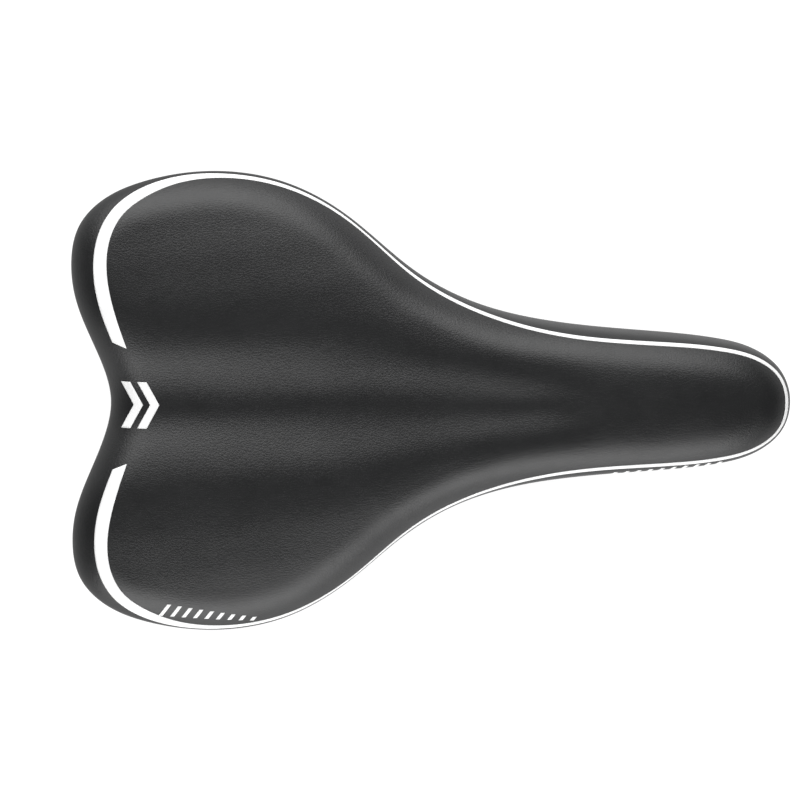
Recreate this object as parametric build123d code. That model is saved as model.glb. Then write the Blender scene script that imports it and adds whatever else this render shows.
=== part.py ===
from build123d import *
import math
import os

# Bicycle saddle: a gel and foam pad on a plastic shell, wrapped in a one-piece cover, carried by
# one bent steel rail wire.
# Frame: +X towards the nose, +Y to the rider's left, +Z up.  The origin lies midway between the two
# straight stretches of the rail wire, at the height of their axes, halfway along them.

# Half of the plan outline, from the notch at the tail round the left wing to the nose tip (mm)
OUTLINE = [
    (-112.2, 0), (-113.8, 10), (-119.5, 25), (-124.8, 40), (-126, 51.5), (-123.3, 64.6), (-114.6, 74.4),
    (-100, 81.2), (-76, 85.2), (-50, 81.9), (-25, 69.2), (0, 49.2), (25, 36.5), (55, 29.7),
    (90, 26.5), (117, 23.7), (131, 19.8), (140.5, 12.2), (144, 0),
]
OUTLINE_SEGMENTS = 8        # arcs that the closed outline is cut into
WING_START = 7              # first outline point whose |y| is also the half-width at that x

# Side view, as (x, height) pairs
CREST = [
    (-126, 56), (-100, 59), (-60, 57), (-20, 53.5), (20, 51), (60, 50), (100, 48.5), (125, 45.5), (150, 38),
]
RIM = [(-126, 31), (-75, 27), (0, 22), (60, 20), (150, 19)]
SHELL_ARCH = [(-122, 0), (-100, 6), (-70, 10), (115, 9.5), (138, 0)]

# Across the saddle, as (x, size) pairs
EDGE_DROP = [(-126, 4), (-80, 9.5), (-25, 9.5), (25, 6), (80, 5), (150, 4.5)]
CHANNEL_DEPTH = [(-126, 13), (-100, 8.8), (-40, 7.5), (0, 5.4), (25, 4), (48, 3), (70, 0)]
CHANNEL_WIDTH = [(-126, 22), (-90, 20), (-25, 20), (0, 16), (25, 11.5), (50, 9.5), (75, 8)]
CROWN_POWER = 2.2

# Walls and layers
SIDE_LEVELS = [(10, 6), (34, 0), (41, 0.6), (47, 4), (61, 11)]     # (height, inset of the outline)
RIM_INSET = 4               # of the sides where they meet the rim
HIGH = 90
COVER_THICKNESS = 1.2
MARGIN_WIDTH = 6            # of the cover, turned in under the shell
SHELL_THICKNESS = 3
RIB_HEIGHT = 4
RIB_THICKNESS = 2.2
GEL_THICKNESS = 6
FILM_THICKNESS = 0.35
FILM_BOTTOM = 36            # all film lies above this height
GAP = 0.05                  # between pieces that lie on each other

# Gel pads, under the sit bones
GEL_CENTRE = (-74, 45)
GEL_SIZE = (37, 25)         # half-axes
GEL_TURN = -12              # degrees

# Rail wire
WIRE_RADIUS = 3.5
RAIL_HALF_SPACING = 22
WIRE_END = (-96, 32, 27.5)
REAR_BEND = (-50, RAIL_HALF_SPACING, 0)
FRONT_BEND = (48, RAIL_HALF_SPACING, 0)
NOSE_BEND = (95, 7, 18)
NOSE_CORNER = (110, 7, 19.5)
BEND_RADII = [36, 42, 30, 6.9]

# Rail sockets and their screws
REAR_BLOCK_CENTRE = (-88, 30.5)
REAR_BLOCK_SIZE = (28, 18)
REAR_FLANGE_SIZE = (26, 44)
FLANGE_THICKNESS = 3.5
BARREL_RADIUS = 7.5
BARREL_LENGTH = 26
BARREL_WALL = 3             # behind the wire's end
NOSE_BLOCK_X = (91, 117)
NOSE_BLOCK_WIDTH = 24
NOSE_BLOCK_BOTTOM = 13
SCREW_OFFSET = 16.5         # of the rear screws, either side of the block's middle
NOSE_SCREW_X = 99.5
SCREW_RADIUS = 2
SCREW_HEAD_RADIUS = 3.9
SCREW_HEAD_HEIGHT = 2.4
PAD_HEIGHT = 1.4            # flat pad under each rear screw's head
SCREW_TIP_GAP = 0.6         # left in the shell beyond a screw's tip

# Staples
STAPLE_COUNT = 28
STAPLE_INSET = 7.2
STAPLE_CROWN = (9, 1, 0.5)
STAPLE_LEG = 2.6

# Film marks
STRIPE_OUTER = [
    (-110.8, 23.2), (-115.6, 37), (-117.4, 49), (-116, 61), (-110.8, 71), (-102, 78), (-92, 82),
    (-81, 84), (-70, 84.2), (-50, 80.9), (-25, 68.1), (0, 47.5), (25, 34.4), (55, 26.5), (90, 23.5),
    (117, 21), (131, 16.8), (139, 10), (141.7, 0),
]
STRIPE_INNER = [
    (-105.6, 21), (-110.6, 37), (-112.6, 49), (-111.6, 60), (-107, 69.2), (-99, 75.6), (-89.5, 80),
    (-79, 82.3), (-68.5, 82.7), (-49, 79.4), (-24, 66.5), (0, 46.4), (25, 33.2), (55, 25.3), (90, 22.2),
    (117, 19.7), (130, 15.9), (137.9, 9.5), (140.3, 0),
]
EMBLEM_X = (-108, -102)      # tips of the two chevrons' backs
CHEVRON = (4.6, 17, 3.4)     # length of its point, width, thickness along X
WING_DASHES = 9
WING_DASH_X = (-92, -59.5)
WING_DASH_Y = (-75.8, -80.1)
WING_DASH_LENGTH = (4.6, 1.6)
NOSE_DASHES = 10
NOSE_DASH_X = (76, 116)
NOSE_DASH_INSET = 1.3
NOSE_DASH_LENGTH = 1.3
DASH_WIDTH = 1.5
DASH_SLANT = 0.35


def curve(table, x):
    """Height of the smooth curve through the table's points, which never overshoots them."""
    if x <= table[0][0]:
        return table[0][1]
    if x >= table[-1][0]:
        return table[-1][1]
    last = len(table) - 1
    slopes = [(table[i + 1][1] - table[i][1]) / (table[i + 1][0] - table[i][0]) for i in range(last)]
    tangents = [slopes[0]]
    for before, after in zip(slopes, slopes[1:]):
        turning = before * after <= 0
        tangents.append(0 if turning else 2 * before * after / (before + after))
    tangents.append(slopes[-1])
    i = max(k for k in range(last) if table[k][0] <= x)
    span = table[i + 1][0] - table[i][0]
    u = (x - table[i][0]) / span
    start = table[i][1] * (1 + 2 * u) * (1 - u) ** 2 + tangents[i] * span * u * (1 - u) ** 2
    end = table[i + 1][1] * u * u * (3 - 2 * u) + tangents[i + 1] * span * u * u * (u - 1)
    return start + end


def half_width(x):
    return curve([(-126, 80)] + OUTLINE[WING_START:-1], x)


def top_height(x, y):
    """Top of the saddle: a crest that falls off to the sides, with the channel pressed into it."""
    across = min(abs(y) / half_width(x), 1.15)
    channel = curve(CHANNEL_DEPTH, x) * math.exp(-((y / curve(CHANNEL_WIDTH, x)) ** 2))
    return curve(CREST, x) - curve(EDGE_DROP, x) * across ** CROWN_POWER - channel


def shell_height(x, y):
    """Top of the base shell: flat along the rim, arched in the middle."""
    across = min(abs(y) / (half_width(x) - RIM_INSET), 1)
    arch = curve(SHELL_ARCH, x) * (1 - across ** 2) ** 2
    return curve(RIM, x) + COVER_THICKNESS + GAP + SHELL_THICKNESS + arch


def closed_outline():
    """Points of the whole outline, in order."""
    return OUTLINE + [(x, -y) for x, y in OUTLINE[-2:0:-1]]


def ring(inset, height):
    """The closed outline, drawn in by an inset, at one height, as smooth arcs."""
    points = closed_outline()
    base = Edge.make_spline([Vector(*point) for point in points], periodic=True)
    moved = []
    for x, y in points:
        along = base.tangent_at(Vector(x, y))
        moved.append(Vector(x + along.Y * inset, y - along.X * inset, height))
    loop = Edge.make_spline(moved, periodic=True)
    cuts = [i / OUTLINE_SEGMENTS for i in range(OUTLINE_SEGMENTS + 1)]
    return Wire([loop.trim(start, end) for start, end in zip(cuts, cuts[1:])])


def column(inset):
    """Block with the saddle's outline, drawn in towards its bottom and its shoulder."""
    return Solid.make_loft([ring(inset + more, height) for height, more in SIDE_LEVELS], ruled=True)


def below(height, lift):
    """Everything under a height function raised by a lift."""
    grid = []
    for i in range(25):
        x = -136 + 12 * i
        grid.append([Vector(x, y, height(x, y) + lift) for y in range(-96, 97, 8)])
    face = Face.make_surface_from_array_of_points(grid, tol=0.05)
    return Solid.extrude(face, Vector(0, 0, -HIGH))


def below_rim(lift):
    """Everything under the rim line raised by a lift."""
    top = Edge.make_spline([Vector(x, -100, z + lift) for x, z in RIM])
    corners = [top @ 1, Vector(150, -100, -50), Vector(-126, -100, -50), top @ 0]
    sides = [Edge.make_line(a, b) for a, b in zip(corners, corners[1:])]
    wide = Solid.extrude(Face(Wire([top] + sides)), Vector(0, 200, 0))
    return wide


def envelope(inset):
    """The padded body, drawn in by an inset on every side, its bottom cut along the rim."""
    return (column(inset) & below(top_height, -inset)) - below_rim(inset)


def prism(face):
    return Solid.extrude(face, Vector(0, 0, HIGH))


def slab(face, height, top, bottom):
    """The part over a plan face that lies between two lifts of a height function."""
    return (prism(face) & below(height, top)) - below(height, bottom)


def cover(outside):
    inner = envelope(COVER_THICKNESS)
    hole = prism(Face(ring(RIM_INSET + MARGIN_WIDTH, 0))) & below_rim(COVER_THICKNESS + GAP)
    return outside - inner - hole


def gel_plan(side, grow):
    shape = Rot(0, 0, GEL_TURN * side) * Ellipse(GEL_SIZE[0] + grow, GEL_SIZE[1] + grow)
    return (Pos(GEL_CENTRE[0], GEL_CENTRE[1] * side, 0) * shape).face()


def gel_pad(side):
    top = -(COVER_THICKNESS + 2 * GAP)
    return slab(gel_plan(side, 0), top_height, top, top - GEL_THICKNESS)


def foam_pad():
    inset = COVER_THICKNESS + GAP
    pad = envelope(inset) - below(shell_height, GAP)
    for side in (1, -1):
        pad -= slab(gel_plan(side, 2 * GAP), top_height, 1, -(inset + 2 * GAP + GEL_THICKNESS))
    return pad


def rib_plan():
    """Two long ribs joined by cross ribs, and a short rib out under each wing."""
    plan = Pos(9, 11, 0) * Rectangle(154, RIB_THICKNESS)
    plan += Pos(9, -11, 0) * Rectangle(154, RIB_THICKNESS)
    for x in range(-66, 79, 18):
        plan += Pos(x, 0, 0) * Rectangle(RIB_THICKNESS, 22)
    for x in (-62, -40, -18):
        for side in (1, -1):
            plan += Pos(x, side * 30, 0) * Rectangle(RIB_THICKNESS, 38)
    return plan


def base_shell(drill):
    plan = Face(ring(RIM_INSET + COVER_THICKNESS + 0.3, 0))
    thick = slab(plan, shell_height, 0, -SHELL_THICKNESS - RIB_HEIGHT)
    between_ribs = below(shell_height, -SHELL_THICKNESS) - prism(rib_plan().face())
    return thick - between_ribs - drill


def wire_path():
    mirrored = [(x, -y, z) for x, y, z in (NOSE_CORNER, NOSE_BEND, FRONT_BEND, REAR_BEND, WIRE_END)]
    points = [WIRE_END, REAR_BEND, FRONT_BEND, NOSE_BEND, NOSE_CORNER] + mirrored
    return FilletPolyline(*points, radius=BEND_RADII + BEND_RADII[::-1])


def rail_wire(radius):
    path = wire_path()
    start = Plane(origin=path @ 0, z_dir=path % 0)
    wire = sweep(start * Circle(radius), path=path)
    return wire.solid()


def under_shell(x, y):
    return shell_height(x, y) - SHELL_THICKNESS - GAP


def screw(x, y, seat):
    """A pan-head screw that points up from its seat into the shell, with a cross recess."""
    length = shell_height(x, y) - SCREW_TIP_GAP - seat
    shank = Pos(x, y, seat + length / 2) * Cylinder(SCREW_RADIUS, length)
    head = Pos(x, y, seat - SCREW_HEAD_HEIGHT / 2) * Cylinder(SCREW_HEAD_RADIUS, SCREW_HEAD_HEIGHT)
    low = [edge for edge in head.edges() if edge.center().Z < seat - SCREW_HEAD_HEIGHT / 2 - 0.5]
    head = fillet(low, 1.1)
    slot = Pos(x, y, seat - SCREW_HEAD_HEIGHT) * (Box(4.2, 0.9, 2.2) + Box(0.9, 4.2, 2.2))
    return (shank + head - slot).solid()


def screw_hole(x, y):
    """Clearance for a screw's shank, up to just past its tip."""
    top = shell_height(x, y) - SCREW_TIP_GAP + GAP
    return Pos(x, y, top - 15) * Cylinder(SCREW_RADIUS + GAP, 30)


def rear_screw_places(side):
    x, y = REAR_BLOCK_CENTRE
    return [(x, side * (y - SCREW_OFFSET)), (x, side * (y + SCREW_OFFSET))]


def rear_seat(x, y):
    return under_shell(x, y) - FLANGE_THICKNESS - PAD_HEIGHT


def rear_socket(side, wire_space):
    """Barrel round the wire's end on a block, with a flange that follows the shell."""
    x, y = REAR_BLOCK_CENTRE
    end = Vector(*WIRE_END)
    along = (Vector(*REAR_BEND) - end).normalized()
    back = Plane(origin=end - along * BARREL_WALL, z_dir=along)
    barrel = Pos(0, 0, BARREL_LENGTH / 2) * Cylinder(BARREL_RADIUS, BARREL_LENGTH)
    block = Pos(x, y, 0) * extrude(RectangleRounded(*REAR_BLOCK_SIZE, 4), HIGH)
    above_wire = Plane(origin=end, z_dir=along.cross(Vector(0, 1, 0)))
    body = (block & above_wire * Pos(0, 0, HIGH / 2) * Box(2 * HIGH, 2 * HIGH, HIGH)) + back * barrel
    ceiling = -SHELL_THICKNESS - GAP
    flange = Pos(x, y, 0) * RectangleRounded(*REAR_FLANGE_SIZE, 5)
    body += slab(flange.face(), shell_height, ceiling + 1, ceiling - FLANGE_THICKNESS)
    for px, py in rear_screw_places(1):
        body += Pos(px, py, rear_seat(px, py) + 2) * Cylinder(SCREW_HEAD_RADIUS + 0.8, 4)
    body = body & below(shell_height, ceiling)
    for px, py in rear_screw_places(1):
        body -= screw_hole(px, py)
    if side < 0:
        body = mirror(body, about=Plane.XZ)
    return (body - wire_space).solid()


def nose_socket(wire_space):
    start, end = NOSE_BLOCK_X
    plan = Pos((start + end) / 2, 0, 0) * RectangleRounded(end - start, NOSE_BLOCK_WIDTH, 5)
    block = Pos(0, 0, NOSE_BLOCK_BOTTOM) * extrude(plan, HIGH - NOSE_BLOCK_BOTTOM)
    low = [edge for edge in block.edges() if abs(edge.center().Z - NOSE_BLOCK_BOTTOM) < 0.1]
    block = fillet(low, 2)
    block = block & below(shell_height, -SHELL_THICKNESS - GAP)
    block -= screw_hole(NOSE_SCREW_X, 0)
    return (block - wire_space).solid()


def staple_planes():
    """A plane at the middle of each staple's crown, X along the rim and Z into the shell."""
    loop = ring(STAPLE_INSET, 0)
    planes = []
    for i in range(STAPLE_COUNT):
        place = (i + 0.5) / STAPLE_COUNT
        point = loop @ place
        along = loop % place
        slope = (curve(RIM, point.X + 1) - curve(RIM, point.X - 1)) / 2
        centre = Vector(point.X, point.Y, curve(RIM, point.X) - 0.02)
        planes.append(Plane(origin=centre, x_dir=Vector(along.X, along.Y, slope * along.X),
                            z_dir=Vector(-slope, 0, 1)))
    return planes


def staples(grow):
    """All staples; grown a little they are the slits that the legs stand in."""
    length, width, height = STAPLE_CROWN
    pieces = []
    for plane in staple_planes():
        piece = Pos(0, 0, -height / 2) * Box(length, width, height)
        for side in (1, -1):
            leg = Box(height + 2 * grow, width + 2 * grow, STAPLE_LEG + height + grow)
            piece += Pos(side * (length - height) / 2, 0, (STAPLE_LEG - height + grow) / 2) * leg
        pieces.append((plane * piece).solid())
    return pieces


def stripe_plan():
    halves = []
    for side in (1, -1):
        outer = Edge.make_spline([Vector(x, y * side) for x, y in STRIPE_OUTER])
        inner = Edge.make_spline([Vector(x, y * side) for x, y in STRIPE_INNER])
        joins = [Edge.make_line(outer @ 0, inner @ 0), Edge.make_line(outer @ 1, inner @ 1)]
        halves.append(Face(Wire([outer, inner] + joins)))
    return halves


def dash(x, y, length):
    """A slanted dash: a parallelogram in plan, its middle at x, y."""
    lean = length * DASH_SLANT
    corners = [
        (x - DASH_WIDTH / 2 - lean, y - length / 2), (x + DASH_WIDTH / 2 - lean, y - length / 2),
        (x + DASH_WIDTH / 2 + lean, y + length / 2), (x - DASH_WIDTH / 2 + lean, y + length / 2),
    ]
    return make_face(Polyline(*corners, close=True)).face()


def between(ends, i, count):
    return ends[0] + (ends[1] - ends[0]) * i / (count - 1)


def wing_dash_plans():
    plans = []
    for i in range(WING_DASHES):
        x = between(WING_DASH_X, i, WING_DASHES)
        y = between(WING_DASH_Y, i, WING_DASHES)
        plans.append(dash(x, y, between(WING_DASH_LENGTH, i, WING_DASHES)))
    return plans


def nose_dash_plans():
    plans = []
    for i in range(NOSE_DASHES):
        x = between(NOSE_DASH_X, i, NOSE_DASHES)
        plans.append(dash(x, NOSE_DASH_INSET - half_width(x), NOSE_DASH_LENGTH))
    return plans


def chevron_plans():
    point, width, thick = CHEVRON
    plans = []
    for x in EMBLEM_X:
        corners = [
            (x, width / 2), (x + thick, width / 2), (x + thick + point, 0), (x + thick, -width / 2),
            (x, -width / 2), (x + point, 0),
        ]
        plans.append(make_face(Polyline(*corners, close=True)).face())
    return plans


def upper(plan, skin):
    """The piece of film over a plan face, without the skin's own underside."""
    tall = Pos(0, 0, FILM_BOTTOM) * prism(plan)
    return (tall & skin).solid()


def film(plans, skin):
    """Thin pieces of film lying on the cover over the given plan faces."""
    return [upper(plan, skin) for plan in plans]


def save(name, shape):
    if isinstance(shape, list):
        shape = Compound(children=shape)
    export_step(shape, f"parts/{name}.step")


def build():
    os.makedirs("parts", exist_ok=True)
    outside = envelope(0)
    skin = envelope(-FILM_THICKNESS) - outside
    wire_space = rail_wire(WIRE_RADIUS + GAP)
    screw_places = rear_screw_places(1) + rear_screw_places(-1) + [(NOSE_SCREW_X, 0)]
    slits = Compound(children=staples(GAP))
    drill = Compound(children=[screw_hole(x, y) for x, y in screw_places])

    save("cover", cover(outside) - slits)
    left, right = stripe_plan()
    save("border_stripe", upper(left, skin) + upper(right, skin))
    save("tail_emblem", film(chevron_plans(), skin))
    save("wing_dashes", film(wing_dash_plans(), skin))
    save("nose_dashes", film(nose_dash_plans(), skin))
    save("foam_pad", foam_pad())
    save("gel_pad_left", gel_pad(1))
    save("gel_pad_right", gel_pad(-1))
    save("base_shell", base_shell(drill) - slits)
    save("rail_wire", rail_wire(WIRE_RADIUS))
    save("nose_socket", nose_socket(wire_space))
    save("nose_socket_screw", screw(NOSE_SCREW_X, 0, NOSE_BLOCK_BOTTOM))
    for name, side in (("left", 1), ("right", -1)):
        save(f"rear_socket_{name}", rear_socket(side, wire_space))
        screws = [screw(x, y, rear_seat(x, abs(y))) for x, y in rear_screw_places(side)]
        save(f"rear_socket_screws_{name}", screws)
    save("cover_staples", staples(0))


build()
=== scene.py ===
import math

import bmesh
import bpy
import numpy as np
from mathutils import Matrix, Vector


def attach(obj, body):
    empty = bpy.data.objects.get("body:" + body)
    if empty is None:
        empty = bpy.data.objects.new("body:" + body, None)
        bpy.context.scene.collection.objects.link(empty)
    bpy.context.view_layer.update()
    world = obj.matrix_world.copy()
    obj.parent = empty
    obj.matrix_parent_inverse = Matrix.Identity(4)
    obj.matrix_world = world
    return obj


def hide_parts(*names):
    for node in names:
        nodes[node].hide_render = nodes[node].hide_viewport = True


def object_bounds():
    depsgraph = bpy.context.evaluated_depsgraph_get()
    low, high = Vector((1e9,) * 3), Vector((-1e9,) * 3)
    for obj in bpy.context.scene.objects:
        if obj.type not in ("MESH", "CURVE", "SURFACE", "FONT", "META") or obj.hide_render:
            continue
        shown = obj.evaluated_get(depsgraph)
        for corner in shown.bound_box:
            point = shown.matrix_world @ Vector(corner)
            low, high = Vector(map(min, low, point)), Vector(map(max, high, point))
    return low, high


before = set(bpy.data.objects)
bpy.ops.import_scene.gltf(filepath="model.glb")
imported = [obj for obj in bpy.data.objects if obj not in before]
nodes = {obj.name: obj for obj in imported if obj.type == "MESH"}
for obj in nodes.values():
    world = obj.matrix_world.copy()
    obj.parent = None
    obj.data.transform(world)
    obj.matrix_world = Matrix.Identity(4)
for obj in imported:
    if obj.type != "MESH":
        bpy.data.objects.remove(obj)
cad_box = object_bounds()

# The cover, foam, gel and film are built here from the design's own outline and heights.
# Sizes are in millimetres in the functions and become metres when a mesh is made.
MM = 0.001

# Half of the plan outline, from the notch at the tail round the left wing to the nose tip
OUTLINE = [
    (-112.2, 0), (-113.8, 10), (-119.5, 25), (-124.8, 40), (-126, 51.5), (-123.3, 64.6), (-114.6, 74.4),
    (-100, 81.2), (-76, 85.2), (-50, 81.9), (-25, 69.2), (0, 49.2), (25, 36.5), (55, 29.7),
    (90, 26.5), (117, 23.7), (131, 19.8), (140.5, 12.2), (144, 0),
]
WING_START = 7
# The half width that the crown falls over: the outline's, but blunt at the tail and the nose
CROWN_WIDTH = [(-126, 82), (-112, 83.5)] + OUTLINE[WING_START + 1:-2] + [(140.5, 16), (160, 14)]

# Heights, depths and widths along the saddle, as (x, size) pairs
CREST = [
    (-126, 56.5), (-112, 58.6), (-95, 59), (-60, 57.5), (-20, 54), (20, 51.2), (60, 50), (100, 48.8),
    (122, 47), (136, 44), (150, 39),
]
RIM = [(-126, 31), (-75, 27), (0, 22), (60, 20), (150, 19)]
SHELL_ARCH = [(-122, 0), (-100, 6), (-70, 10), (115, 9.5), (138, 0)]
EDGE_DROP = [(-126, 4), (-80, 9.5), (-25, 9.5), (25, 6), (80, 5), (150, 4.5)]
CHANNEL_DEPTH = [(-126, 13), (-100, 8.8), (-40, 7.5), (0, 5.4), (25, 4), (48, 3), (70, 0), (150, 0)]
CHANNEL_WIDTH = [(-126, 22), (-90, 20), (-25, 20), (0, 16), (25, 11.5), (50, 9.5), (75, 8), (150, 8)]
SHOULDER_DROP = [(-126, 9), (-100, 8), (-50, 8.5), (0, 14), (45, 21), (100, 20), (125, 18), (140, 14)]
CORNER_SHARE = [(-126, 0.2), (-50, 0.2), (10, 0.42), (45, 0.66), (80, 0.73), (115, 0.73), (140, 0.6)]
CROWN_POWER = 2.2
SHOULDER_WIDTH = 15.5
# The shoulder is part wide curve and part tight corner, with a power for each
SHOULDER_POWER = 2.4
CORNER_POWER = 18
SIDE_INSET = 3.6
SIDE_POWER = 1.7
EDGE_RADIUS = 1.8
MARGIN_WIDTH = 6.5
MARGIN_RISE = 0.12
COVER_THICKNESS = 1.2
SHELL_THICKNESS = 3
SHELL_INSET = 4

# How far each kind of table is smoothed
SPREAD = 9
ARCH_SPREAD = 4
WIDTH_SPREAD = 6

# Mesh density
OUTLINE_POINTS = 3000
FLANK_STEPS = 260
TAIL_STEPS = 170
SHOULDER_STEPS = 16
SHOULDER_SPACING = 1.9
SIDE_STEPS = 18
EDGE_STEPS = 6
MARGIN_STEPS = 9


# ---------------------------------------------------------------- curves and heights

def hermite(table, x):
    """Smooth curve through the table's points that never overshoots them, for an array of x."""
    px, py = np.array(table, float).T
    slopes = np.diff(py) / np.diff(px)
    inner = np.zeros(len(px) - 2)
    same = slopes[:-1] * slopes[1:] > 0
    inner[same] = 2 * slopes[:-1][same] * slopes[1:][same] / (slopes[:-1] + slopes[1:])[same]
    tangents = np.concatenate([slopes[:1], inner, slopes[-1:]])
    x = np.clip(x, px[0], px[-1])
    i = np.clip(np.searchsorted(px, x, side="right") - 1, 0, len(px) - 2)
    span = px[i + 1] - px[i]
    u = (x - px[i]) / span
    return (py[i] * (1 + 2 * u) * (1 - u) ** 2 + tangents[i] * span * u * (1 - u) ** 2
            + py[i + 1] * u * u * (3 - 2 * u) + tangents[i + 1] * span * u * u * (u - 1))


def smooth_table(table, spread=SPREAD):
    """The table's curve with its bends softened, as a function of an array of x.

    Past either end the curve goes on with half the end's slope.
    """
    grid = np.arange(-190.0, 211.0, 1.0)
    reach = np.arange(-4 * SPREAD, 4 * SPREAD + 1)
    weights = np.exp(-0.5 * (reach / spread) ** 2)
    weights /= weights.sum()
    px, py = np.array(table, float).T
    raw = hermite(table, grid)
    before = (py[1] - py[0]) / (px[1] - px[0])
    after = (py[-1] - py[-2]) / (px[-1] - px[-2])
    raw = np.where(grid < px[0], py[0] + before * (grid - px[0]) * 0.5, raw)
    raw = np.where(grid > px[-1], py[-1] + after * (grid - px[-1]) * 0.5, raw)
    soft = np.convolve(raw, weights, mode="same")
    return lambda x: np.interp(x, grid, soft)


crest = smooth_table(CREST)
rim = smooth_table(RIM)
shell_arch = smooth_table(SHELL_ARCH, ARCH_SPREAD)
edge_drop = smooth_table(EDGE_DROP)
channel_depth = smooth_table(CHANNEL_DEPTH)
channel_width = smooth_table(CHANNEL_WIDTH)
shoulder_drop = smooth_table(SHOULDER_DROP)
corner_share = smooth_table(CORNER_SHARE)
half_width = smooth_table(CROWN_WIDTH, WIDTH_SPREAD)


def closed_spline(points, count, oversample=12):
    """Evenly spaced points on the smooth closed curve through the given points."""
    p = np.array(points, float)
    n = len(p)
    chords = np.linalg.norm(np.roll(p, -1, 0) - p, axis=1)
    knots = np.concatenate([[0], np.cumsum(chords)])
    matrix = np.zeros((n, n))
    right = np.zeros((n, 2))
    for i in range(n):
        before, after = chords[i - 1], chords[i]
        matrix[i, i - 1] += before
        matrix[i, i] += 2 * (before + after)
        matrix[i, (i + 1) % n] += after
        right[i] = 6 * ((p[(i + 1) % n] - p[i]) / after - (p[i] - p[i - 1]) / before)
    bend = np.linalg.solve(matrix, right)
    t = np.linspace(0, knots[-1], oversample * count, endpoint=False)
    i = np.clip(np.searchsorted(knots, t, side="right") - 1, 0, n - 1)
    j = (i + 1) % n
    h = chords[i][:, None]
    a = (knots[i + 1] - t)[:, None] / h
    b = 1 - a
    fine = a * p[i] + b * p[j] + ((a ** 3 - a) * bend[i] + (b ** 3 - b) * bend[j]) * h ** 2 / 6
    steps = np.linalg.norm(np.roll(fine, -1, 0) - fine, axis=1)
    length = np.concatenate([[0], np.cumsum(steps)])
    wanted = np.linspace(0, length[-1], count, endpoint=False)
    loop = np.vstack([fine, fine[:1]])
    return np.column_stack([np.interp(wanted, length, loop[:, k]) for k in (0, 1)])


outline = closed_spline(OUTLINE + [(x, -y) for x, y in OUTLINE[-2:0:-1]], OUTLINE_POINTS)
forward = np.roll(outline, -1, 0) - np.roll(outline, 1, 0)
forward /= np.linalg.norm(forward, axis=1)[:, None]
inward = np.column_stack([forward[:, 1], -forward[:, 0]])


def edge_distance(x, y, batch=4000):
    """How far inside the outline each point lies, worked out a batch at a time to save memory."""
    flat = np.column_stack([np.ravel(x), np.ravel(y)])
    found = np.empty(len(flat))
    for start in range(0, len(flat), batch):
        part = flat[start:start + batch]
        away = part[:, None, :] - outline[None, ::2, :]
        found[start:start + batch] = np.sqrt((away ** 2).sum(2).min(1))
    return found.reshape(np.shape(x))


def crown(x, y):
    """Top of the saddle before its edge is rounded."""
    across = np.minimum(np.abs(y) / half_width(x), 1.1)
    channel = channel_depth(x) * np.exp(-(y / channel_width(x)) ** 2)
    return crest(x) - edge_drop(x) * across ** CROWN_POWER - channel


def shoulder(x, inset):
    """How far the rounded edge lies under the crown."""
    reach = 1 - np.clip(inset / SHOULDER_WIDTH, 0, 1)
    corner = 1 - np.sqrt(1 - reach ** CORNER_POWER)
    share = corner_share(x)
    return shoulder_drop(x) * ((1 - share) * reach ** SHOULDER_POWER + share * corner)


def surface(x, y):
    """Top of the saddle with its rounded edge."""
    return crown(x, y) - shoulder(x, edge_distance(x, y))


def shell_top(x, y):
    """Top of the arched plastic base, which the foam lies on."""
    across = np.minimum(np.abs(y) / (half_width(x) - SHELL_INSET), 1)
    return rim(x) + COVER_THICKNESS + SHELL_THICKNESS + shell_arch(x) * (1 - across ** 2) ** 2


# ---------------------------------------------------------------- mesh helpers

def mesh_object(name, points, faces, smooth=True):
    """A Blender object from points in millimetres."""
    mesh = bpy.data.meshes.new(name)
    mesh.from_pydata((np.asarray(points) * MM).tolist(), [], [list(map(int, f)) for f in faces])
    mesh.validate()
    piece = bpy.data.objects.new(name, mesh)
    bpy.context.scene.collection.objects.link(piece)
    for polygon in mesh.polygons:
        polygon.use_smooth = smooth
    return piece


def loft_faces(first, second):
    """Quads between two closed loops of vertex numbers."""
    n = len(first)
    return [(first[i], first[(i + 1) % n], second[(i + 1) % n], second[i]) for i in range(n)]


def apply_modifiers(piece):
    """Turns the result of the modifiers into the piece's own mesh."""
    depsgraph = bpy.context.evaluated_depsgraph_get()
    mesh = bpy.data.meshes.new_from_object(piece.evaluated_get(depsgraph))
    piece.modifiers.clear()
    piece.data = mesh


# ---------------------------------------------------------------- the grid over the saddle

# Corners of the grid: x, and the least distance from the middle
WING_CORNER = (-118, 60)
NOSE_CORNER = (137, 5)


def corner_place(x, least_y):
    """Number of the left-hand outline point nearest to x that is at least so far from the middle."""
    left = outline[:len(outline) // 2]
    too_near = np.where(left[:, 1] < least_y, np.inf, 0)
    return int(np.argmin(np.abs(left[:, 0] - x) + too_near))


def outline_places():
    """Outline points of the ring, by number: the tail from right to left, left flank, nose, right flank."""
    count = len(outline)
    wing = corner_place(*WING_CORNER)
    nose = corner_place(*NOSE_CORNER)
    tail = np.linspace(-wing, wing, TAIL_STEPS + 1)
    left_flank = np.linspace(wing, nose, FLANK_STEPS + 1)
    tip = np.linspace(nose, count - nose, TAIL_STEPS + 1)
    right_flank = np.linspace(count - nose, count - wing, FLANK_STEPS + 1)
    return np.concatenate([tail[:-1], left_flank[:-1], tip[:-1], right_flank[:-1]])


places = outline_places()
RING = len(places)
index = np.arange(-len(outline), len(outline) + 1)


def at_places(values):
    """The outline's values at the ring's places, which may lie between two of its points."""
    return np.column_stack([np.interp(places, index, values[index % len(outline), k]) for k in (0, 1)])


ring_xy = at_places(outline)
ring_in = at_places(inward)
ring_in /= np.linalg.norm(ring_in, axis=1)[:, None]


def ring_at(inset):
    """The ring's points in plan, drawn in by an inset, which may be an array along the ring."""
    return ring_xy + ring_in * np.reshape(inset * np.ones(RING), (-1, 1))


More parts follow.
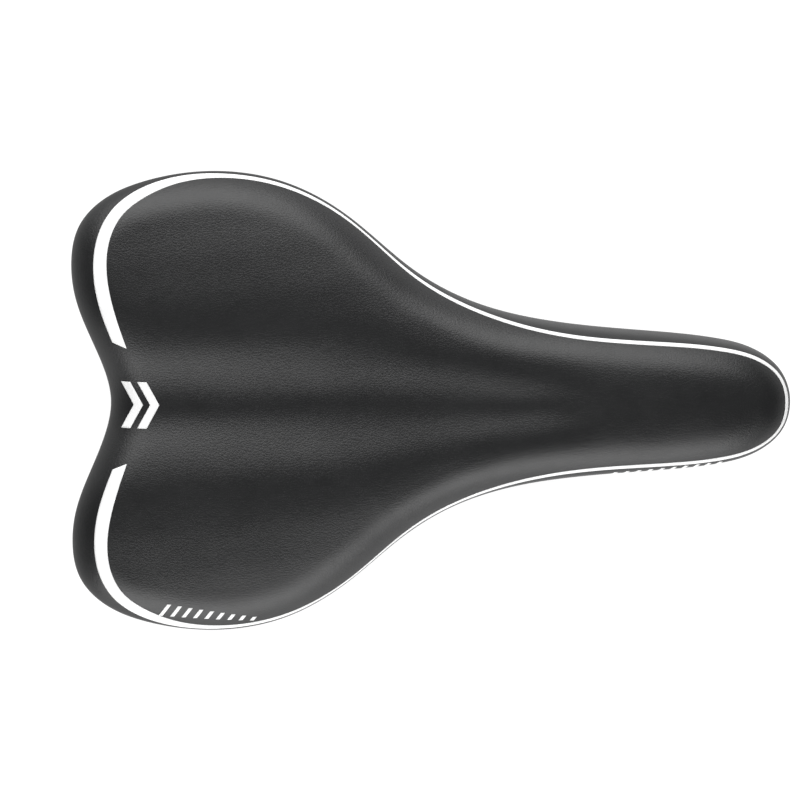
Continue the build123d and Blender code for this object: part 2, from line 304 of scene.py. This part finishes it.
def coons(ring):
    """Plan points that fill a ring, as a grid of FLANK_STEPS + 1 by TAIL_STEPS + 1."""
    tail = ring[:TAIL_STEPS + 1]
    left = ring[TAIL_STEPS:TAIL_STEPS + FLANK_STEPS + 1]
    tip = ring[TAIL_STEPS + FLANK_STEPS:2 * TAIL_STEPS + FLANK_STEPS + 1][::-1]
    right = np.vstack([ring[2 * TAIL_STEPS + FLANK_STEPS:], ring[:1]])[::-1]
    u = np.linspace(0, 1, FLANK_STEPS + 1)[:, None, None]
    v = np.linspace(0, 1, TAIL_STEPS + 1)[None, :, None]
    across = (1 - v) * right[:, None] + v * left[:, None]
    tail_bulge = tail[None] - (1 - v) * right[0] - v * left[0]
    tip_bulge = tip[None] - (1 - v) * right[-1] - v * left[-1]
    return across + (1 - u) ** 3 * tail_bulge + u ** 3 * tip_bulge


def grid_loop(offset, shape):
    """A grid's vertex numbers, and those of its border in the ring's order."""
    number = offset + np.arange(shape[0] * shape[1]).reshape(shape)
    loop = np.concatenate([number[0, :-1], number[:-1, -1], number[-1, :0:-1], number[:0:-1, 0]])
    return number, loop


def grid_faces(number):
    """Quads between a grid's vertex numbers."""
    a, b, c, d = number[:-1, :-1], number[1:, :-1], number[1:, 1:], number[:-1, 1:]
    return np.stack([a.ravel(), b.ravel(), c.ravel(), d.ravel()], 1)


# Folds of the turned-in margin, full where the outline's radius is under PLEAT_BEND
PLEAT_BEND = 18
PLEAT_SIDEWAYS = 0.35
PLEAT_DEPTH = 0.28
# Waves along the edge: size, turns in radians per millimetre, start
PLEAT_WAVES = [(1, 1.05, 0), (0.6, 0.61, 1.3), (0.4, 2.3, 0.4)]


def pleats(amount):
    """Small folds where the turned-in margin goes round the wings and the nose."""
    turn = np.gradient(np.unwrap(np.arctan2(ring_in[:, 1], ring_in[:, 0])))
    step = np.linalg.norm(np.roll(ring_xy, -1, 0) - ring_xy, axis=1)
    bend = np.clip(np.abs(turn) / step * PLEAT_BEND, 0, 1)
    run = np.cumsum(step)
    wave = sum(size * np.sin(run * rate + start) for size, rate, start in PLEAT_WAVES)
    return amount * bend * wave


def side_ring(t):
    """Plan and height of the side band, from the widest line (t=0) to the rim's edge (t=1)."""
    x, y = ring_xy.T
    high = crown(x, y) - shoulder_drop(x)
    low = rim(x) + EDGE_RADIUS
    inset = SIDE_INSET * t ** SIDE_POWER
    return ring_at(inset), high + (low - high) * t


def cover_rings():
    """Rings of the cover from the shoulder down the side and in under the shell."""
    rings = []
    for k in range(SHOULDER_STEPS, 0, -1):
        inset = SHOULDER_WIDTH * (k / SHOULDER_STEPS) ** SHOULDER_SPACING
        plan = ring_at(inset)
        rings.append((plan, crown(*plan.T) - shoulder(plan[:, 0], inset)))
    for k in range(SIDE_STEPS + 1):
        rings.append(side_ring(k / SIDE_STEPS))
    low = rim(ring_xy[:, 0])
    for k in range(1, EDGE_STEPS + 1):
        angle = math.pi / 2 * k / EDGE_STEPS
        inset = SIDE_INSET + EDGE_RADIUS * (1 - math.cos(angle))
        rings.append((ring_at(inset), low + EDGE_RADIUS * (1 - math.sin(angle))))
    for k in range(1, MARGIN_STEPS + 1):
        t = k / MARGIN_STEPS
        inset = SIDE_INSET + EDGE_RADIUS + (MARGIN_WIDTH + pleats(PLEAT_SIDEWAYS)) * t
        rings.append((ring_at(inset), low + (MARGIN_RISE - np.abs(pleats(PLEAT_DEPTH))) * t))
    return rings


def softness(x, y):
    """Slight unevenness of the hand-pulled cover, well under half a millimetre."""
    return (0.10 * np.sin(x * 0.071 + 0.6) * np.sin(y * 0.083 + 1.1)
            + 0.05 * np.sin(x * 0.19 + y * 0.11) + 0.03 * np.sin(y * 0.37 - x * 0.05 + 2.0))


# How much of the unevenness is left on the side band
SIDE_SOFTNESS = 0.3


def ringed_surface(rings, step=1):
    """A grid that fills the first ring, joined to every later ring in turn.

    Gives the points, the faces, the last ring's vertex numbers and the number of points in the grid.
    """
    grid = coons(rings[0][0])[::step, ::step]
    gx, gy = grid[..., 0], grid[..., 1]
    points = [np.column_stack([gx.ravel(), gy.ravel(), (crown(gx, gy) + softness(gx, gy)).ravel()])]
    number, loop = grid_loop(0, gx.shape)
    faces = [grid_faces(number)]
    offset = number.size
    for plan, height in rings[1:]:
        fade = 1 if len(points) < SHOULDER_STEPS else SIDE_SOFTNESS
        points.append(np.column_stack([plan, height + fade * softness(*plan.T)])[::step])
        ring = offset + np.arange(len(points[-1]))
        faces.append(np.array(loft_faces(loop, ring)))
        loop = ring
        offset += len(ring)
    return np.vstack(points), np.vstack(faces), loop, number.size


# Rings over which the top panel's grain gives way to the smoother side band
PANEL_FADE = (5, SHOULDER_STEPS - 3)


def make_cover():
    """The cover's one skin, with its grain's strength stored as top_panel."""
    rings = cover_rings()
    points, faces, _, first_ring = ringed_surface(rings)
    piece = mesh_object("cover_skin", points, faces)
    fix_normals(piece)
    panel = np.ones(len(points), np.float32)
    for k in range(len(rings) - 1):
        start = first_ring + k * RING
        panel[start:start + RING] = np.interp(k, PANEL_FADE, [1, 0])
    layer = piece.data.attributes.new("top_panel", "FLOAT", "POINT")
    layer.data.foreach_set("value", panel)
    solidify = piece.modifiers.new("thickness", "SOLIDIFY")
    solidify.thickness = COVER_THICKNESS * MM
    solidify.offset = -1
    apply_modifiers(piece)
    return piece


def fix_normals(piece):
    """Turns every face outwards."""
    data = bmesh.new()
    data.from_mesh(piece.data)
    bmesh.ops.recalc_face_normals(data, faces=data.faces)
    top = max(data.faces, key=lambda f: f.calc_center_median().z)
    if top.normal.z < 0:
        bmesh.ops.reverse_faces(data, faces=data.faces)
    data.to_mesh(piece.data)
    data.free()


# ---------------------------------------------------------------- padding: foam and gel

FOAM_GAP = 0.15
FOAM_STEP = 2
FOAM_LIP = 0.6
POCKET_SLOPE = 1.5
GEL_CENTRE = (-74, 45)
GEL_HALF_AXES = (37, 25)
GEL_TURN = math.radians(-12)
GEL_THICKNESS = 6
GEL_SIDE_GAP = 1.6
GEL_TURNS = 96
GEL_RINGS = 26


def gel_edge(x, y, side):
    """How far inside one gel pad's outline each point lies; below zero is outside it."""
    dx, dy = x - GEL_CENTRE[0], y * side - GEL_CENTRE[1]
    along = dx * math.cos(GEL_TURN) + dy * math.sin(GEL_TURN)
    across = dy * math.cos(GEL_TURN) - dx * math.sin(GEL_TURN)
    reach = np.hypot(along / GEL_HALF_AXES[0], across / GEL_HALF_AXES[1])
    return (1 - reach) * GEL_HALF_AXES[1]


def make_foam():
    """The foam body under the cover, with a pocket for each gel pad and its bottom on the shell."""
    rings = cover_rings()[:SHOULDER_STEPS + SIDE_STEPS + 1]
    points, faces, loop, _ = ringed_surface(rings, FOAM_STEP)
    piece = mesh_object("foam_padding", points, faces)
    fix_normals(piece)
    normals = np.empty(len(points) * 3)
    piece.data.vertices.foreach_get("normal", normals)
    bpy.data.objects.remove(piece)
    depth = COVER_THICKNESS + FOAM_GAP
    points = points - normals.reshape(-1, 3) * depth
    for side in (1, -1):
        inside = np.clip(gel_edge(points[:, 0], points[:, 1], side) / POCKET_SLOPE, 0, 1)
        points[:, 2] -= (GEL_THICKNESS + 2 * FOAM_GAP) * inside * inside * (3 - 2 * inside)
    lowest = shell_top(points[:, 0], points[:, 1]) + FOAM_GAP
    points[:, 2] = np.maximum(points[:, 2], lowest)
    floor_plan = coons(ring_at(SIDE_INSET + depth + FOAM_LIP))[::FOAM_STEP, ::FOAM_STEP]
    number, inner_loop = grid_loop(len(points), floor_plan.shape[:2])
    gx, gy = floor_plan[..., 0].ravel(), floor_plan[..., 1].ravel()
    points = np.vstack([points, np.column_stack([gx, gy, shell_top(gx, gy) + FOAM_GAP])])
    faces = np.vstack([faces, loft_faces(loop, inner_loop), grid_faces(number)])
    piece = mesh_object("foam_padding", points, faces)
    fix_normals(piece)
    return piece


def make_gel(name, side):
    """A gel pad in its pocket: a flat lens with a rounded edge that follows the top of the saddle."""
    half_length, half_breadth = (axis - GEL_SIDE_GAP for axis in GEL_HALF_AXES)
    angle = np.linspace(0, 2 * math.pi, GEL_TURNS, endpoint=False)
    reach = 1 - np.linspace(0, 1, GEL_RINGS) ** 2
    along = np.outer(reach, np.cos(angle)) * half_length
    across = np.outer(reach, np.sin(angle)) * half_breadth
    x = GEL_CENTRE[0] + along * math.cos(GEL_TURN) - across * math.sin(GEL_TURN)
    y = side * (GEL_CENTRE[1] + along * math.sin(GEL_TURN) + across * math.cos(GEL_TURN))
    half = GEL_THICKNESS / 2
    inside = np.clip((1 - reach) * half_breadth / half, 0, 1)
    swell = (half * np.sqrt(1 - (1 - inside) ** 2))[:, None]
    middle = surface(x, y) + softness(x, y) - COVER_THICKNESS - 2 * FOAM_GAP - half
    border = np.stack([x[0], y[0], middle[0]], -1)
    points, faces = [border], []
    offset = GEL_TURNS
    for height in (middle + swell, middle - swell):
        loop = np.arange(GEL_TURNS)
        for k in range(1, GEL_RINGS - 1):
            points.append(np.stack([x[k], y[k], height[k]], -1))
            ring = offset + np.arange(GEL_TURNS)
            faces += loft_faces(loop, ring)
            loop = ring
            offset += GEL_TURNS
        points.append(np.array([[x[-1, 0], y[-1, 0], height[-1, 0]]]))
        faces += [(loop[i], loop[(i + 1) % GEL_TURNS], offset) for i in range(GEL_TURNS)]
        offset += 1
    piece = mesh_object(name, np.vstack(points), faces)
    fix_normals(piece)
    return piece


# ---------------------------------------------------------------- film: stripe, emblem, dashes

FILM_HEIGHT = 0.14
FILM_SINK = 0.25
FILM_EDGE = 0.06


def surface_normals(x, y, reach=0.15):
    """Directions square to the top, from its slopes over a short reach."""
    dx = (surface(x + reach, y) - surface(x - reach, y)) / (2 * reach)
    dy = (surface(x, y + reach) - surface(x, y - reach)) / (2 * reach)
    normal = np.stack([-dx, -dy, np.ones_like(dx)], -1)
    return normal / np.linalg.norm(normal, axis=-1)[..., None]


def film_patch(first, second, across=7):
    """A thin closed strip on the cover between two plan lines with the same number of points."""
    first, second = np.array(first, float), np.array(second, float)
    w = np.linspace(0, 1, across)[None, :, None]
    plan = first[:, None] * (1 - w) + second[:, None] * w
    x, y = plan[..., 0], plan[..., 1]
    base = np.stack([x, y, surface(x, y) + softness(x, y)], -1)
    normal = surface_normals(x, y)
    lift = np.full(x.shape, FILM_EDGE)
    lift[1:-1, 1:-1] = FILM_HEIGHT
    top = base + normal * lift[..., None]
    bottom = base - normal * FILM_SINK
    number, border = grid_loop(0, x.shape)
    faces = list(grid_faces(number)) + [f[::-1] for f in grid_faces(number + number.size)]
    faces += loft_faces(border, border + number.size)
    points = np.vstack([top.reshape(-1, 3), bottom.reshape(-1, 3)])
    return points, faces


def film_object(name, patches):
    """One object from several patches of film."""
    points, faces, offset = [], [], 0
    for patch_points, patch_faces in patches:
        points.append(patch_points)
        faces += [tuple(int(i) + offset for i in f) for f in patch_faces]
        offset += len(patch_points)
    piece = mesh_object(name, np.vstack(points), faces)
    fix_normals(piece)
    return piece


def spline_through(points, count):
    """Evenly spaced points on a smooth open curve through the given points."""
    p = np.array(points, float)
    knots = np.concatenate([[0], np.cumsum(np.linalg.norm(np.diff(p, axis=0), axis=1))])
    n = len(p)
    h = np.diff(knots)
    matrix = np.eye(n)
    right = np.zeros((n, 2))
    for i in range(1, n - 1):
        matrix[i, i - 1:i + 2] = h[i - 1], 2 * (h[i - 1] + h[i]), h[i]
        right[i] = 6 * ((p[i + 1] - p[i]) / h[i] - (p[i] - p[i - 1]) / h[i - 1])
    bend = np.linalg.solve(matrix, right)
    t = np.linspace(0, knots[-1], count)
    i = np.clip(np.searchsorted(knots, t, side="right") - 1, 0, n - 2)
    s = h[i][:, None]
    a = (knots[i + 1] - t)[:, None] / s
    b = 1 - a
    return a * p[i] + b * p[i + 1] + ((a ** 3 - a) * bend[i] + (b ** 3 - b) * bend[i + 1]) * s ** 2 / 6


STRIPE_OUTER = [
    (-110.8, 23.2), (-115.6, 37), (-117.4, 49), (-116, 61), (-110.8, 71), (-102, 78), (-92, 82),
    (-81, 84), (-70, 84.2), (-50, 80.9), (-25, 68.1), (0, 47.5), (25, 34.4), (55, 26.5), (90, 23.5),
    (117, 21), (131, 16.8), (139, 10), (141.7, 0),
]
STRIPE_INNER = [
    (-105.6, 21), (-110.6, 37), (-112.6, 49), (-111.6, 60), (-107, 69.2), (-99, 75.6), (-89.5, 80),
    (-79, 82.3), (-68.5, 82.7), (-49, 79.4), (-24, 66.5), (0, 46.4), (25, 33.2), (55, 25.3), (90, 22.2),
    (117, 19.7), (130, 15.9), (137.9, 9.5), (140.3, 0),
]
STRIPE_STEPS = 900
STRIPE_COLUMNS = 9


def both_sides(points):
    """A line from the left wing to the nose tip, and on to the right wing."""
    return points + [(x, -y) for x, y in points[-2::-1]]


def make_stripe():
    first = spline_through(both_sides(STRIPE_OUTER), STRIPE_STEPS)
    second = spline_through(both_sides(STRIPE_INNER), STRIPE_STEPS)
    return film_object("border_stripe_film", [film_patch(first, second, STRIPE_COLUMNS)])


EMBLEM_X = (-108, -102)
CHEVRON_POINT = 4.6
CHEVRON_WIDTH = 17
CHEVRON_THICK = 3.4
CHEVRON_STEPS = 14


def make_emblem():
    """Two chevrons that point at the nose."""
    patches = []
    for x in EMBLEM_X:
        point = (x + CHEVRON_POINT, 0)
        left = np.linspace((x, CHEVRON_WIDTH / 2), point, CHEVRON_STEPS)
        right = np.linspace(point, (x, -CHEVRON_WIDTH / 2), CHEVRON_STEPS)
        back = np.vstack([left, right[1:]])
        patches.append(film_patch(back, back + (CHEVRON_THICK, 0)))
    return film_object("tail_emblem_film", patches)


DASH_SLANT = 0.35
DASH_STEPS = 8
DASH_COLUMNS = 5
# First and last dash of the wing's row: x, y and length
WING_DASH_FIRST = (-92, -75.8, 4.6)
WING_DASH_LAST = (-59.5, -80.1, 1.6)
WING_DASH_COUNT = 9
WING_DASH_WIDTH = 1.5
NOSE_DASH_X = (76, 116)
NOSE_DASH_COUNT = 10
NOSE_DASH_INSET = 1.3
NOSE_DASH_LENGTH = 1.3
NOSE_DASH_WIDTH = 1.4


def dash_patch(x, y, length, width):
    """One slanted dash across the saddle."""
    lean = length * DASH_SLANT
    middle = np.linspace((x - lean, y - length / 2), (x + lean, y + length / 2), DASH_STEPS)
    return film_patch(middle - (width / 2, 0), middle + (width / 2, 0), DASH_COLUMNS)


def make_wing_dashes():
    row = np.linspace(WING_DASH_FIRST, WING_DASH_LAST, WING_DASH_COUNT)
    return film_object("wing_dashes_film", [dash_patch(*place, WING_DASH_WIDTH) for place in row])


def make_nose_dashes():
    patches = []
    for x in np.linspace(*NOSE_DASH_X, NOSE_DASH_COUNT):
        edge = -np.interp(x, *np.array(OUTLINE[WING_START:-1]).T)
        patches.append(dash_patch(x, edge + NOSE_DASH_INSET, NOSE_DASH_LENGTH, NOSE_DASH_WIDTH))
    return film_object("nose_dashes_film", patches)


# ---------------------------------------------------------------- materials

# Scales are in cells per metre and bump depths in metres.
FINE_BUMP = 0.0001


def material(name):
    """A new material with its node tree, its shader and the coordinates that its patterns use."""
    made = bpy.data.materials.new(name)
    made.use_nodes = True
    tree = made.node_tree
    where = tree.nodes.new("ShaderNodeTexCoord").outputs["Object"]
    return made, tree, tree.nodes["Principled BSDF"], where


def node(tree, kind, **settings):
    """A new node, with settings for its sockets and its own options."""
    made = tree.nodes.new(kind)
    for key, value in settings.items():
        if key in made.inputs:
            made.inputs[key].default_value = value
        else:
            setattr(made, key, value)
    return made


def noise(tree, where, scale, detail, roughness=0.5):
    made = node(tree, "ShaderNodeTexNoise", Scale=scale, Detail=detail, Roughness=roughness)
    tree.links.new(where, made.inputs["Vector"])
    return made.outputs["Fac"]


def ramp(tree, pattern, stops):
    """The pattern's values as colours, from (position, colour) stops."""
    made = tree.nodes.new("ShaderNodeValToRGB")
    elements = made.color_ramp.elements
    while len(elements) < len(stops):
        elements.new(0.5)
    for element, (position, colour) in zip(elements, stops):
        element.position = position
        element.color = (*colour, 1)
    tree.links.new(pattern, made.inputs["Fac"])
    return made.outputs["Color"]


def grey(value):
    return (value, value, value)


def vary(tree, socket, pattern, low, high, start=0.3, end=0.7):
    """Drives a shader's socket with a pattern, from one colour to another."""
    tree.links.new(ramp(tree, pattern, [(start, low), (end, high)]), socket)


def bump(tree, height, strength, depth, under=None):
    """A bump node over the normal from the one under it."""
    made = node(tree, "ShaderNodeBump", Strength=strength, Distance=depth)
    tree.links.new(height, made.inputs["Height"])
    if under is not None:
        tree.links.new(under.outputs["Normal"], made.inputs["Normal"])
    return made


def relief(tree, shader, height, strength, depth=FINE_BUMP):
    """Gives a shader one layer of bump."""
    tree.links.new(bump(tree, height, strength, depth).outputs["Normal"], shader.inputs["Normal"])


def by_panel(tree, side_value, top_value):
    """A value that goes from the side band's to the top panel's."""
    panel = node(tree, "ShaderNodeAttribute", attribute_name="top_panel")
    made = node(tree, "ShaderNodeMapRange")
    made.inputs["To Min"].default_value = side_value
    made.inputs["To Max"].default_value = top_value
    tree.links.new(panel.outputs["Fac"], made.inputs["Value"])
    return made.outputs["Result"]


# The leather's grain: cells of about a millimetre, longer along the saddle, with bent edges
GRAIN_SCALE = 1120
GRAIN_STRETCH = (0.62, 1, 1)
GRAIN_WARP_SCALE = 420
GRAIN_WARP = 0.0012
GRAIN_DEPTH = 0.0002
SIDE_GRAIN = 0.10
TOP_GRAIN = 0.20
SIDE_ROUGHER = 0.12
LEATHER_DARK = (0.0054, 0.0056, 0.0059)
LEATHER_LIGHT = (0.0080, 0.0082, 0.0086)


def leather_creases(tree, where):
    """Height of the grain: low at the cells' edges."""
    warp = node(tree, "ShaderNodeTexNoise", Scale=GRAIN_WARP_SCALE, Detail=3)
    tree.links.new(where, warp.inputs["Vector"])
    mix = node(tree, "ShaderNodeMix", data_type="VECTOR")
    mix.inputs["Factor"].default_value = GRAIN_WARP
    tree.links.new(where, mix.inputs[4])
    tree.links.new(warp.outputs["Color"], mix.inputs[5])
    stretch = node(tree, "ShaderNodeMapping", Scale=GRAIN_STRETCH)
    tree.links.new(mix.outputs[1], stretch.inputs["Vector"])
    cells = node(tree, "ShaderNodeTexVoronoi", feature="DISTANCE_TO_EDGE", Scale=GRAIN_SCALE)
    tree.links.new(stretch.outputs["Vector"], cells.inputs["Vector"])
    return ramp(tree, cells.outputs["Distance"], [(0.0, grey(0)), (0.16, grey(0.8)), (0.5, grey(1))])


def leather():
    made, tree, shader, where = material("black_leather")
    broad = noise(tree, where, 55, 5, roughness=0.55)
    vary(tree, shader.inputs["Base Color"], broad, LEATHER_DARK, LEATHER_LIGHT)
    polish = noise(tree, where, 190, 4, roughness=0.6)
    rough = node(tree, "ShaderNodeMath", operation="ADD")
    vary(tree, rough.inputs[0], polish, grey(0.39), grey(0.42))
    tree.links.new(by_panel(tree, SIDE_ROUGHER, 0), rough.inputs[1])
    tree.links.new(rough.outputs["Value"], shader.inputs["Roughness"])
    grain = bump(tree, leather_creases(tree, where), TOP_GRAIN, GRAIN_DEPTH)
    tree.links.new(by_panel(tree, SIDE_GRAIN, TOP_GRAIN), grain.inputs["Strength"])
    pores = noise(tree, where, 3200, 3, roughness=0.6)
    tree.links.new(bump(tree, pores, 0.12, FINE_BUMP, grain).outputs["Normal"], shader.inputs["Normal"])
    shader.inputs["Specular IOR Level"].default_value = 0.35
    return made


def white_film():
    made, tree, shader, where = material("white_film")
    vary(tree, shader.inputs["Base Color"], noise(tree, where, 90, 3), grey(0.62), grey(0.68))
    vary(tree, shader.inputs["Roughness"], noise(tree, where, 400, 3), grey(0.32), grey(0.42))
    relief(tree, shader, noise(tree, where, 1500, 2), strength=0.06)
    return made


def moulded_plastic(name, dark, light, rough, grain):
    """Plastic with a fine moulded grain, of the given scale."""
    made, tree, shader, where = material(name)
    vary(tree, shader.inputs["Base Color"], noise(tree, where, 40, 5), grey(dark), grey(light), start=0.35)
    vary(tree, shader.inputs["Roughness"], noise(tree, where, 160, 4), grey(rough), grey(rough + 0.1))
    relief(tree, shader, noise(tree, where, grain, 3, roughness=0.6), strength=0.2)
    return made


def open_cell_foam():
    made, tree, shader, where = material("grey_foam")
    cells = node(tree, "ShaderNodeTexVoronoi", feature="F1", Scale=1600)
    tree.links.new(where, cells.inputs["Vector"])
    pore_depth_and_shade = cells.outputs["Distance"]
    # Painted shade: the base colour is darker in the foam's pores, where the bump is low.
    vary(tree, shader.inputs["Base Color"], pore_depth_and_shade, grey(0.05), grey(0.16), start=0.1, end=0.5)
    vary(tree, shader.inputs["Roughness"], noise(tree, where, 500, 3), grey(0.85), grey(0.95))
    relief(tree, shader, pore_depth_and_shade, strength=0.5, depth=0.0003)
    return made


def clear_gel():
    made, tree, shader, where = material("blue_gel")
    tint = noise(tree, where, 60, 3)
    vary(tree, shader.inputs["Base Color"], tint, (0.10, 0.17, 0.26), (0.16, 0.24, 0.34))
    vary(tree, shader.inputs["Roughness"], noise(tree, where, 200, 3), grey(0.15), grey(0.28))
    relief(tree, shader, noise(tree, where, 350, 2), strength=0.1, depth=0.0002)
    shader.inputs["Subsurface Weight"].default_value = 0.3
    return made


def coated_steel():
    """Painted wire, with a clear coat."""
    made, tree, shader, where = material("rail_coating")
    black = noise(tree, where, 70, 5)
    vary(tree, shader.inputs["Base Color"], black, grey(0.02), grey(0.035), start=0.35, end=0.75)
    vary(tree, shader.inputs["Roughness"], noise(tree, where, 260, 4), grey(0.28), grey(0.38))
    relief(tree, shader, noise(tree, where, 1800, 2), strength=0.08)
    shader.inputs["Metallic"].default_value = 0.6
    shader.inputs["Coat Weight"].default_value = 0.3
    shader.inputs["Coat Roughness"].default_value = 0.2
    return made


def plated_steel(name, dark, light):
    made, tree, shader, where = material(name)
    vary(tree, shader.inputs["Base Color"], noise(tree, where, 300, 4), grey(dark), grey(light))
    vary(tree, shader.inputs["Roughness"], noise(tree, where, 700, 4), grey(0.25), grey(0.42))
    relief(tree, shader, noise(tree, where, 2500, 2), strength=0.1)
    shader.inputs["Metallic"].default_value = 1
    return made


def paint(piece, made):
    """Gives a piece, or a CAD node, its one material."""
    piece.data.materials.clear()
    piece.data.materials.append(made)


# ---------------------------------------------------------------- stage, camera, lights

# Stage sizes and places are in metres, powers in watts.
FLOOR_HALF_SIZE = 3
FLOOR_GLOW = 0.82
LIGHT_TARGET = (0, 0, 0.04)
# Soft boxes: name, place, width, depth and power
SOFTBOXES = [
    ("left_softbox", (-0.06, 0.75, 0.56), 1.4, 0.9, 22),
    ("right_softbox", (0, -0.8, 0.44), 1.5, 0.7, 18),
]
WORLD_LIGHT = 0.06
WORLD_SEEN = 0.85
WHITE = (1, 1, 1, 1)

CAMERA_TARGET = (-0.0057, 0.0017, 0.045)
CAMERA_DISTANCE = 0.8215
CAMERA_LENS = 100
CAMERA_SENSOR = 36
# Lean of the view towards the tail and the left wing, and the slight turn of the picture
CAMERA_LEAN = (math.radians(-4), math.radians(6))
CAMERA_TURN = 0.0035


def floor_material():
    made, tree, shader, where = material("pale_floor")
    vary(tree, shader.inputs["Base Color"], noise(tree, where, 3, 2), grey(0.20), grey(0.22))
    shader.inputs["Roughness"].default_value = 0.9
    shader.inputs["Emission Color"].default_value = WHITE
    shader.inputs["Emission Strength"].default_value = FLOOR_GLOW
    return made


def make_floor():
    low = cad_box[0][2] / MM
    size = FLOOR_HALF_SIZE / MM
    corners = [(-size, -size, low), (size, -size, low), (size, size, low), (-size, size, low)]
    floor = mesh_object("floor", corners, [(0, 1, 2, 3)], smooth=False)
    paint(floor, floor_material())


def make_softbox(name, place, width, depth, power):
    data = bpy.data.lights.new(name, "AREA")
    data.shape = "RECTANGLE"
    data.size, data.size_y = width, depth
    data.energy = power
    light = bpy.data.objects.new(name, data)
    light.location = place
    light.rotation_euler = (Vector(LIGHT_TARGET) - Vector(place)).to_track_quat("-Z", "Y").to_euler()
    bpy.context.scene.collection.objects.link(light)


def make_world():
    """A pale room to the camera that gives the object only a little light."""
    world = bpy.data.worlds.new("studio")
    world.use_nodes = True
    tree = world.node_tree
    dim = tree.nodes["Background"]
    dim.inputs["Color"].default_value = WHITE
    dim.inputs["Strength"].default_value = WORLD_LIGHT
    pale = node(tree, "ShaderNodeBackground", Color=WHITE, Strength=WORLD_SEEN)
    either = tree.nodes.new("ShaderNodeMixShader")
    tree.links.new(tree.nodes.new("ShaderNodeLightPath").outputs["Is Camera Ray"], either.inputs[0])
    tree.links.new(dim.outputs[0], either.inputs[1])
    tree.links.new(pale.outputs[0], either.inputs[2])
    tree.links.new(either.outputs[0], tree.nodes["World Output"].inputs["Surface"])
    bpy.context.scene.world = world
    bpy.context.scene.view_settings.view_transform = "Standard"


def make_lights():
    for box in SOFTBOXES:
        make_softbox(*box)
    make_world()


def make_camera():
    data = bpy.data.cameras.new("camera")
    data.lens = CAMERA_LENS
    data.sensor_width = CAMERA_SENSOR
    camera = bpy.data.objects.new("camera", data)
    away = Vector((*map(math.sin, CAMERA_LEAN), 1)).normalized()
    place = Vector(CAMERA_TARGET) + away * CAMERA_DISTANCE
    along = Vector((1, CAMERA_TURN, 0))
    right = (along - away * along.dot(away)).normalized()
    up = away.cross(right)
    camera.matrix_world = Matrix.Translation(place) @ Matrix((right, up, away)).transposed().to_4x4()
    bpy.context.scene.collection.objects.link(camera)
    bpy.context.scene.camera = camera


# ---------------------------------------------------------------- build

skin = make_cover()
paint(skin, leather())
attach(skin, "root")
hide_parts("cover")

foam = make_foam()
paint(foam, open_cell_foam())
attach(foam, "root")
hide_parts("foam_pad")
gel_blue = clear_gel()
for name, side in (("left", 1), ("right", -1)):
    pad = make_gel("gel_lens_" + name, side)
    paint(pad, gel_blue)
    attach(pad, "root")
    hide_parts("gel_pad_" + name)

film_white = white_film()
for made, replaced in (
    (make_stripe(), "border_stripe"), (make_emblem(), "tail_emblem"),
    (make_wing_dashes(), "wing_dashes"), (make_nose_dashes(), "nose_dashes"),
):
    paint(made, film_white)
    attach(made, "root")
    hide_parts(replaced)

paint(nodes["base_shell"], moulded_plastic("shell_nylon", 0.012, 0.02, rough=0.5, grain=2200))
socket_nylon = moulded_plastic("socket_nylon", 0.015, 0.024, rough=0.42, grain=2600)
for name in ("nose_socket", "rear_socket_left", "rear_socket_right"):
    paint(nodes[name], socket_nylon)
paint(nodes["rail_wire"], coated_steel())
zinc = plated_steel("zinc_plate", 0.35, 0.5)
for name in ("nose_socket_screw", "rear_socket_screws_left", "rear_socket_screws_right"):
    paint(nodes[name], zinc)
paint(nodes["cover_staples"], plated_steel("staple_wire", 0.45, 0.6))

make_floor()
make_lights()
make_camera()
